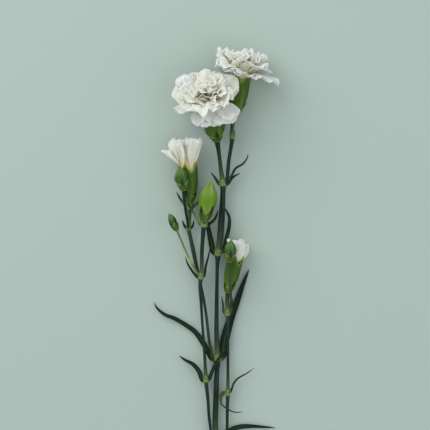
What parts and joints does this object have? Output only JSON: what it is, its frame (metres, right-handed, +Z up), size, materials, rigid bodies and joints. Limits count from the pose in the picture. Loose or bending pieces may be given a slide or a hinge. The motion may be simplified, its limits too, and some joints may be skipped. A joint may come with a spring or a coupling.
{
  "type": "cut carnation",
  "caption": "Cut stem of white spray carnation laid flat, with open and half-open flowers, green buds, swollen stem joints and narrow leaves.",
  "frame": {"origin": "middle of the plant's box in plan, on the surface the stem lies on", "axes": "+Y along the stem from the cut end towards the flowers, +Z up from the surface, +X to the right seen from above with the flowers at the top"},
  "size_m": [0.092, 0.4026, 0.05],
  "materials": {
    "stem": "satin",
    "leaf": "satin",
    "bract": "satin",
    "calyx": "satin",
    "petal": "matte",
    "inner_petal": "matte"
  },
  "bodies": {
    "root": {"stem_main": "stem", "branch_left": "stem", "branch_middle": "stem", "branch_right": "stem", "pedicel_second_flower": "stem", "pedicel_side_bud": "stem", "pedicel_tiny_bud": "stem", "pedicel_front_bud": "stem", "leaf_low_left": "leaf", "leaf_low_right": "leaf", "leaf_second_left": "leaf", "leaf_second_right": "leaf", "leaf_third_left": "leaf", "leaf_third_right": "leaf", "leaf_branch_left_outer": "leaf", "leaf_branch_left_inner": "leaf", "leaf_curled": "leaf", "leaf_branch_right_outer": "leaf", "leaf_fourth_left": "leaf", "leaf_fourth_right": "leaf", "leaf_top_long": "leaf", "leaf_under_green_bud": "leaf", "leaf_pair_branch_right": "leaf", "leaf_pair_branch_left": "leaf", "leaf_pair_top": "leaf", "leaf_pair_green_bud": "leaf", "leaf_pair_half_open": "leaf", "leaf_pair_side_bud": "leaf", "bracts_first_flower": "bract", "calyx_first_flower": "calyx", "petal_first_flower_1": "petal", "petal_first_flower_2": "petal", "petal_first_flower_3": "petal", "petal_first_flower_4": "petal", "petal_first_flower_5": "petal", "petal_first_flower_6": "petal", "inner_petals_first_flower": "inner_petal", "bracts_second_flower": "bract", "calyx_second_flower": "calyx", "petal_second_flower_1": "petal", "petal_second_flower_2": "petal", "petal_second_flower_3": "petal", "petal_second_flower_4": "petal", "inner_petals_second_flower": "inner_petal", "bracts_half_open": "bract", "calyx_half_open": "calyx", "petal_half_open": "petal", "inner_petals_half_open": "inner_petal", "bracts_opening": "bract", "calyx_opening": "calyx", "inner_petals_opening": "inner_petal", "bracts_green_bud": "bract", "bud_green": "calyx", "bracts_side_bud": "bract", "bud_side": "calyx", "bracts_front_bud": "bract", "bud_front": "calyx", "bud_tiny": "calyx"}
  },
  "joints": []
}
